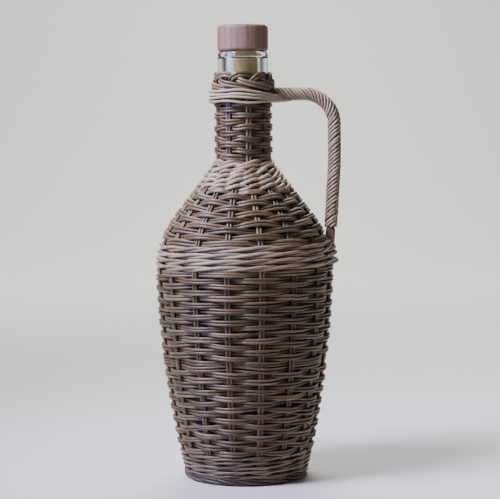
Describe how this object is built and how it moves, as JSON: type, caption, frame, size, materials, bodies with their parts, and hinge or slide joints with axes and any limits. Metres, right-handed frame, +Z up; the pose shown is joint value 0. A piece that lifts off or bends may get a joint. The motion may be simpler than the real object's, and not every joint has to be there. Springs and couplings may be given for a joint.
{
  "type": "wicker covered bottle",
  "caption": "Clear glass bottle covered all over in woven willow, with a roped side handle and a wooden headed cork stopper.",
  "frame": {"origin": "centre of the ring that the bottle stands on", "axes": "+Z up the bottle's own axis; the handle stands on the +X side, in the XZ plane"},
  "size_m": [0.1176, 0.1134, 0.2821],
  "materials": {
    "willow_brown": "satin",
    "willow_pale": "satin",
    "willow_dark": "satin",
    "glass": "clear",
    "cork": "matte",
    "beech": "satin"
  },
  "bodies": {
    "basket": {"lower_weave": "willow_brown", "upper_weave": "willow_brown", "shoulder_weave": "willow_brown", "neck_weave": "willow_brown", "top_border": "willow_brown", "stake_pair_01": "willow_brown", "stake_pair_02": "willow_brown", "stake_pair_03": "willow_brown", "stake_pair_04": "willow_brown", "stake_pair_05": "willow_brown", "stake_pair_06": "willow_brown", "stake_pair_07": "willow_brown", "stake_pair_08": "willow_brown", "stake_pair_09": "willow_brown", "stake_pair_10": "willow_brown", "stake_pair_11": "willow_brown", "stake_pair_12": "willow_brown", "stake_pair_13": "willow_brown", "stake_pair_14": "willow_brown", "stake_pair_15": "willow_brown", "stake_pair_16": "willow_brown", "base_band": "willow_pale", "shoulder_band": "willow_pale", "collar_band": "willow_pale", "neck_lashing": "willow_pale", "handle_core": "willow_pale", "handle_strand_1": "willow_pale", "handle_strand_2": "willow_pale", "handle_strand_3": "willow_pale", "handle_strand_4": "willow_pale", "foot_border": "willow_dark", "base_weave": "willow_dark", "base_sticks_split": "willow_dark", "base_sticks_through": "willow_dark", "glass_bottle": "glass"},
    "stopper": {"stopper_cork": "cork", "stopper_cap": "beech"}
  },
  "joints": [
    {"name": "stopper_slide", "type": "slide", "parent": "basket", "child": "stopper", "axis": [0, 0, 1], "range_m": [0, 0.04]}
  ]
}
